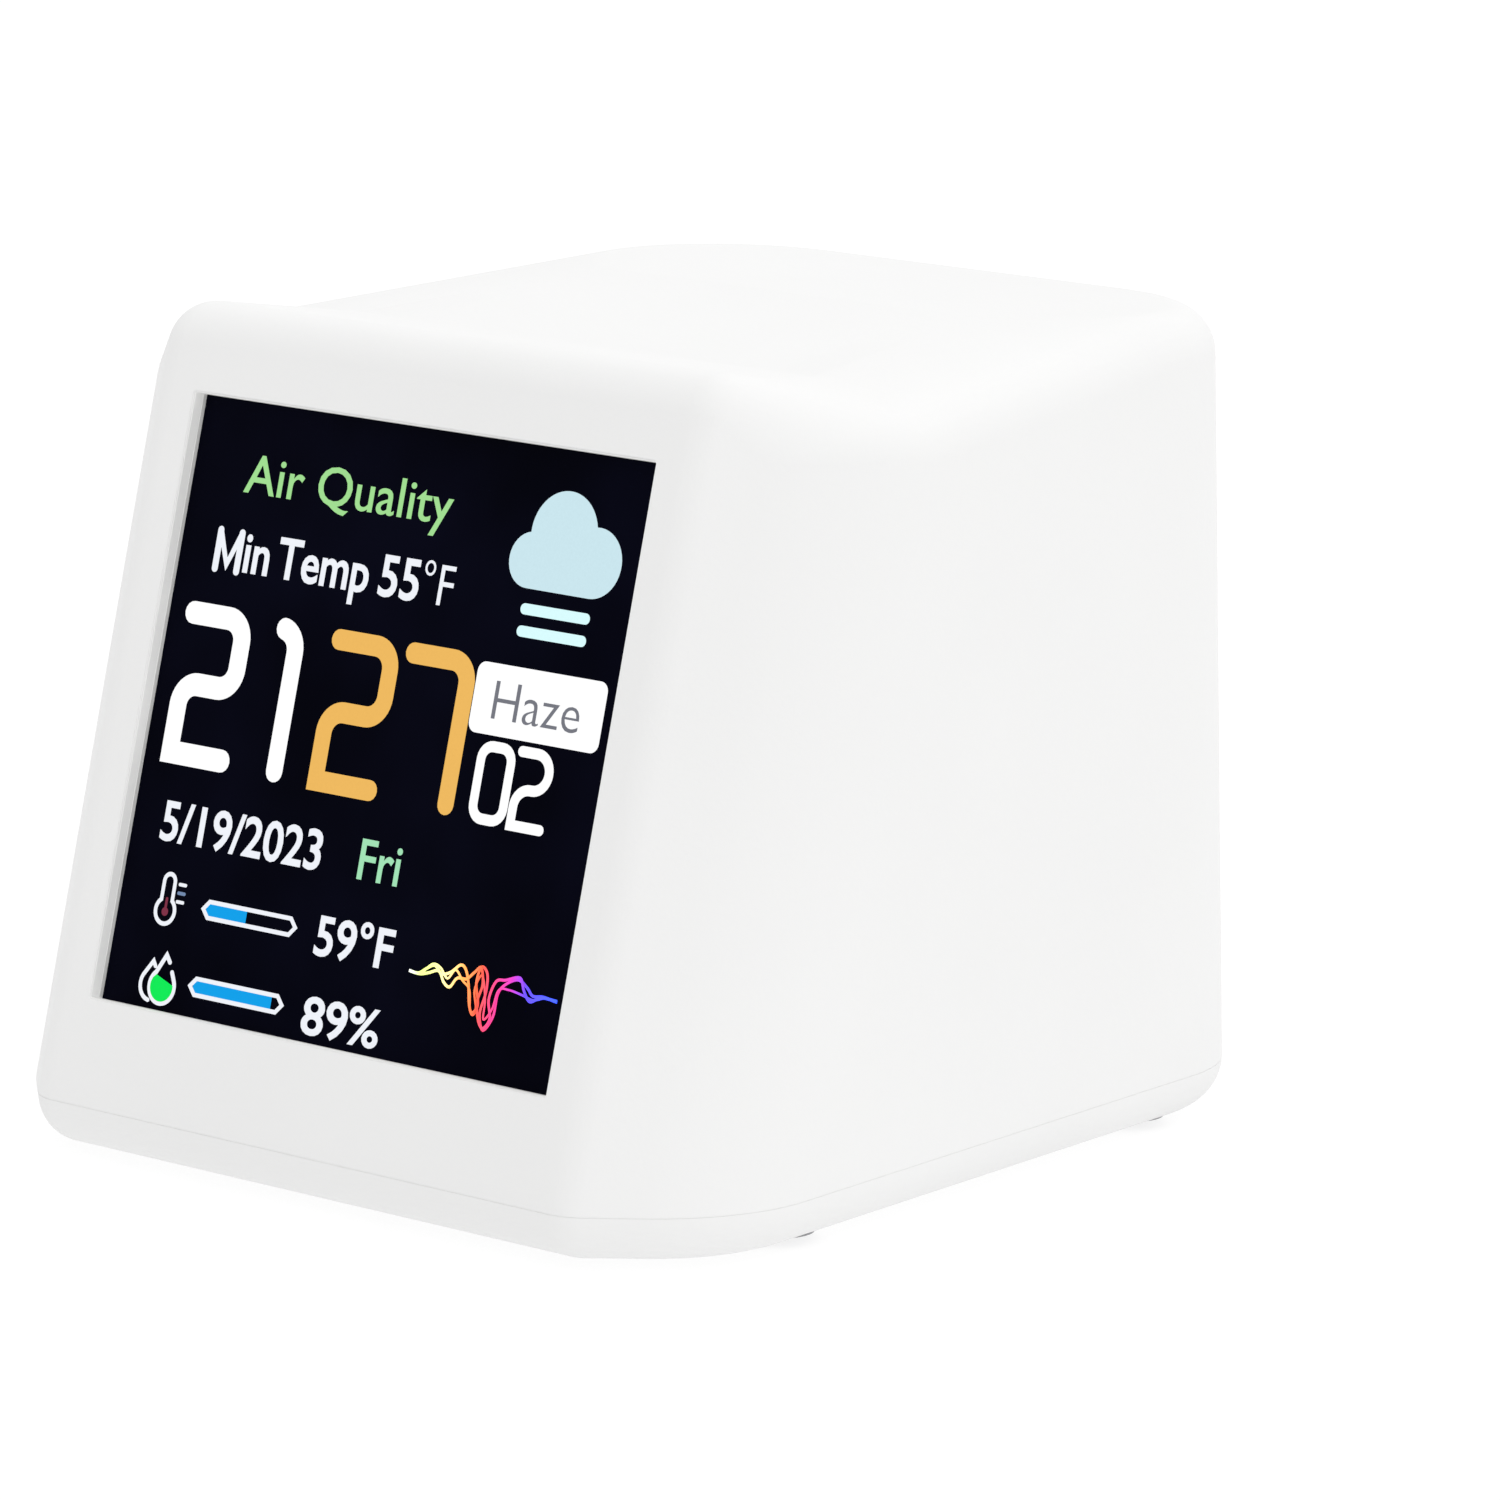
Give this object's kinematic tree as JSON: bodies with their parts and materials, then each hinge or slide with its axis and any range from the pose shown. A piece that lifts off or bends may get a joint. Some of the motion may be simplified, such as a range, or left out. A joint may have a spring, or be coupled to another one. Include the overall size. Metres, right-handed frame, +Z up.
{
  "type": "desktop air quality monitor",
  "caption": "Palm-sized white air quality monitor: rounded box with a backward-leaning front, a square colour display, a USB-C inlet and a push button on its back.",
  "frame": {"origin": "centre of the footprint, on the surface that the feet stand on", "axes": "+Z up; the display faces -Y and leans back; +X is to the right of someone who faces the display"},
  "size_m": [0.0434, 0.0506, 0.039],
  "materials": {
    "housing_plastic": "fine-grained white moulded ABS",
    "cover_plastic": "fine-grained white moulded ABS",
    "button_plastic": "smooth white moulded ABS",
    "foot_rubber": "soft translucent grey silicone",
    "screw_steel": "zinc plated",
    "small_screw_steel": "nickel plated",
    "foam": "black foam",
    "lcd_glass": "glossy polarised display glass, lit",
    "backlight_frame": "white moulded light frame",
    "bracket_plastic": "black moulded nylon",
    "flex_film": "amber polyimide film with copper tracks",
    "board_laminate": "green solder mask with gold pads",
    "radio_laminate": "dark blue solder mask",
    "shield_metal": "drawn nickel silver",
    "socket_metal": "nickel plated",
    "socket_core": "black moulded insulator with gold contacts",
    "connector_plastic": "ivory moulded nylon",
    "chip_epoxy": "black moulded epoxy with tinned legs",
    "capacitor_ceramic": "tan ceramic with tinned ends",
    "resistor_ceramic": "black ceramic with tinned ends",
    "crystal_metal": "gold-toned lid",
    "sensor_metal": "stamped metal lid",
    "switch_plastic": "black moulded switch case",
    "plunger_plastic": "ivory acetal"
  },
  "bodies": {
    "monitor": {"housing_shell": "housing_plastic", "base_cover": "cover_plastic", "rubber_feet": "foot_rubber", "cover_screws": "screw_steel", "display_gasket": "foam", "display_glass": "lcd_glass", "display_backlight": "backlight_frame", "display_bracket": "bracket_plastic", "bracket_screws": "small_screw_steel", "display_flex": "flex_film", "main_board": "board_laminate", "board_screws": "small_screw_steel", "wifi_board": "radio_laminate", "wifi_shield_can": "shield_metal", "usb_socket_shell": "socket_metal", "usb_socket_core": "socket_core", "flex_connector": "connector_plastic", "usb_serial_chip": "chip_epoxy", "voltage_regulator": "chip_epoxy", "capacitors": "capacitor_ceramic", "resistors": "resistor_ceramic", "clock_crystal": "crystal_metal", "air_sensor": "sensor_metal", "switch_body": "switch_plastic"},
    "button": {"switch_plunger": "plunger_plastic", "button_cap": "button_plastic"}
  },
  "joints": [
    {"name": "button_press", "type": "slide", "parent": "monitor", "child": "button", "axis": [0, -1, 0], "range_m": [0, 0.0003], "stiffness_N_per_m": 2000}
  ]
}
